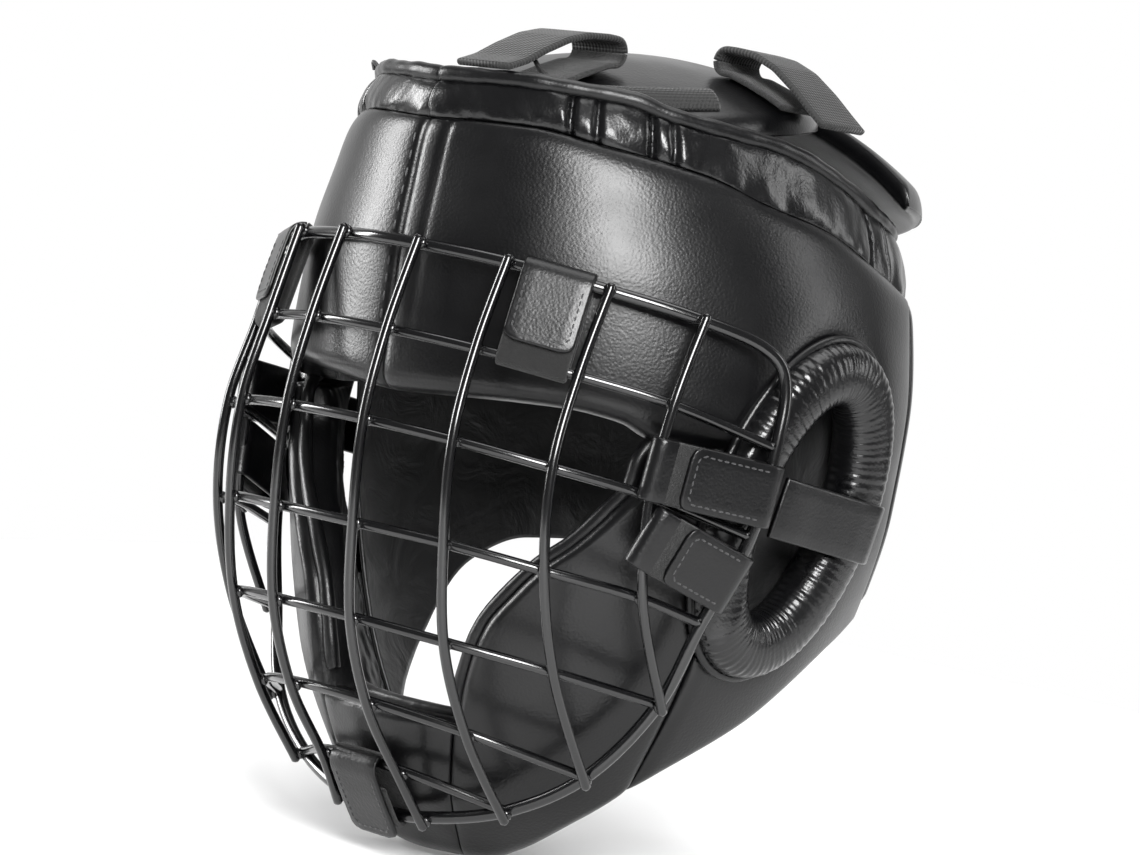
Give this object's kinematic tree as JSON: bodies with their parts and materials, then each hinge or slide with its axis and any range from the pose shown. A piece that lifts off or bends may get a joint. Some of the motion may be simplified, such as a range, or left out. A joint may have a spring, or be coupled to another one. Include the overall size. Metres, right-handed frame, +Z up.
{
  "type": "boxing headgear",
  "caption": "Full-face padded boxing headgear with a removable wire face grille held by folded hook-and-loop tabs.",
  "frame": {"origin": "centre of the head cavity at brow level", "axes": "+Z up, -Y the way the wearer faces, +X the wearer's left"},
  "size_m": [0.2386, 0.2555, 0.2906],
  "materials": {
    "black_leather": "smooth semi-gloss",
    "foam": "closed-cell matte",
    "lining": "matte",
    "webbing": "woven",
    "coated_wire": "gloss dip coating"
  },
  "bodies": {
    "shell": {"cheek_pad_left": "black_leather", "cheek_pad_right": "black_leather", "cheek_piping_left": "black_leather", "cheek_piping_right": "black_leather", "chin_cup": "black_leather", "chin_liner": "lining", "chin_tab": "black_leather", "cover_forehead_left": "black_leather", "cover_forehead_right": "black_leather", "cover_rear": "black_leather", "cover_side_left": "black_leather", "cover_side_right": "black_leather", "crown_lace": "webbing", "crown_leaf_rear": "black_leather", "crown_pad": "black_leather", "crown_tab_front": "webbing", "crown_tab_side": "webbing", "ear_ring_left": "black_leather", "ear_ring_right": "black_leather", "ear_strap_left": "black_leather", "ear_strap_right": "black_leather", "foam_forehead": "foam", "foam_rear": "foam", "foam_side_left": "foam", "foam_side_right": "foam", "forehead_tab_left": "black_leather", "forehead_tab_right": "black_leather", "lining_forehead": "lining", "lining_left": "lining", "lining_right": "lining", "rear_strap": "webbing", "rim_band_left": "black_leather", "rim_band_right": "black_leather", "rim_piping_left": "black_leather", "rim_piping_right": "black_leather", "side_tab_lower_left": "black_leather", "side_tab_lower_right": "black_leather", "side_tab_upper_left": "black_leather", "side_tab_upper_right": "black_leather"},
    "grille": {"grille_crossbar_1": "coated_wire", "grille_crossbar_2": "coated_wire", "grille_crossbar_3": "coated_wire", "grille_crossbar_4": "coated_wire", "grille_crossbar_5": "coated_wire", "grille_crossbar_6": "coated_wire", "grille_frame": "coated_wire", "grille_uprights_inner": "coated_wire", "grille_uprights_middle": "coated_wire", "grille_uprights_outer": "coated_wire", "grille_uprights_side": "coated_wire"},
    "chin_flap_body": {"chin_flap": "black_leather"},
    "crown_flap_front_body": {"crown_flap_front": "webbing"},
    "crown_flap_side_body": {"crown_flap_side": "webbing"},
    "forehead_flap_left_body": {"forehead_flap_left": "black_leather"},
    "forehead_flap_right_body": {"forehead_flap_right": "black_leather"},
    "rear_flap_body": {"rear_flap": "webbing"},
    "side_flap_lower_left_body": {"side_flap_lower_left": "black_leather"},
    "side_flap_lower_right_body": {"side_flap_lower_right": "black_leather"},
    "side_flap_upper_left_body": {"side_flap_upper_left": "black_leather"},
    "side_flap_upper_right_body": {"side_flap_upper_right": "black_leather"}
  },
  "joints": [
    {"name": "grille_removal", "type": "slide", "parent": "shell", "child": "grille", "axis": [0, -1, 0], "range_m": [0, 0.27]},
    {"name": "chin_flap_open", "type": "hinge", "parent": "shell", "child": "chin_flap_body", "pos_m": [0, -0.08315, -0.10436], "axis": [-1, 0, 0], "range_deg": [0, 110]},
    {"name": "forehead_flap_left_open", "type": "hinge", "parent": "shell", "child": "forehead_flap_left_body", "pos_m": [0.06133, -0.0833, 0.06905], "axis": [-0.8101, -0.5703, 0.1362], "range_deg": [0, 110]},
    {"name": "forehead_flap_right_open", "type": "hinge", "parent": "shell", "child": "forehead_flap_right_body", "pos_m": [-0.06133, -0.0833, 0.06905], "axis": [-0.8101, 0.5703, -0.1362], "range_deg": [0, 110]},
    {"name": "side_flap_lower_left_open", "type": "hinge", "parent": "shell", "child": "side_flap_lower_left_body", "pos_m": [0.10821, -0.02925, -0.02841], "axis": [0.2886, 0.2744, 0.9173], "range_deg": [0, 110]},
    {"name": "side_flap_lower_right_open", "type": "hinge", "parent": "shell", "child": "side_flap_lower_right_body", "pos_m": [-0.10821, -0.02925, -0.02841], "axis": [0.2886, -0.2744, -0.9173], "range_deg": [0, 110]},
    {"name": "side_flap_upper_left_open", "type": "hinge", "parent": "shell", "child": "side_flap_upper_left_body", "pos_m": [0.11484, -0.02343, 0.00294], "axis": [0.0932, 0.0824, 0.9922], "range_deg": [0, 110]},
    {"name": "side_flap_upper_right_open", "type": "hinge", "parent": "shell", "child": "side_flap_upper_right_body", "pos_m": [-0.11484, -0.02343, 0.00294], "axis": [0.0932, -0.0824, -0.9922], "range_deg": [0, 110]},
    {"name": "crown_flap_front_open", "type": "hinge", "parent": "shell", "child": "crown_flap_front_body", "pos_m": [0.015, -0.026, 0.1425], "axis": [-1, 0, 0], "range_deg": [0, 110]},
    {"name": "crown_flap_side_open", "type": "hinge", "parent": "shell", "child": "crown_flap_side_body", "pos_m": [0.037, 0.02, 0.1456], "axis": [0, -1, 0], "range_deg": [0, 110]},
    {"name": "rear_flap_open", "type": "hinge", "parent": "shell", "child": "rear_flap_body", "pos_m": [-0.04672, 0.12171, 0.024], "axis": [0, 0, 1], "range_deg": [0, 90]}
  ]
}
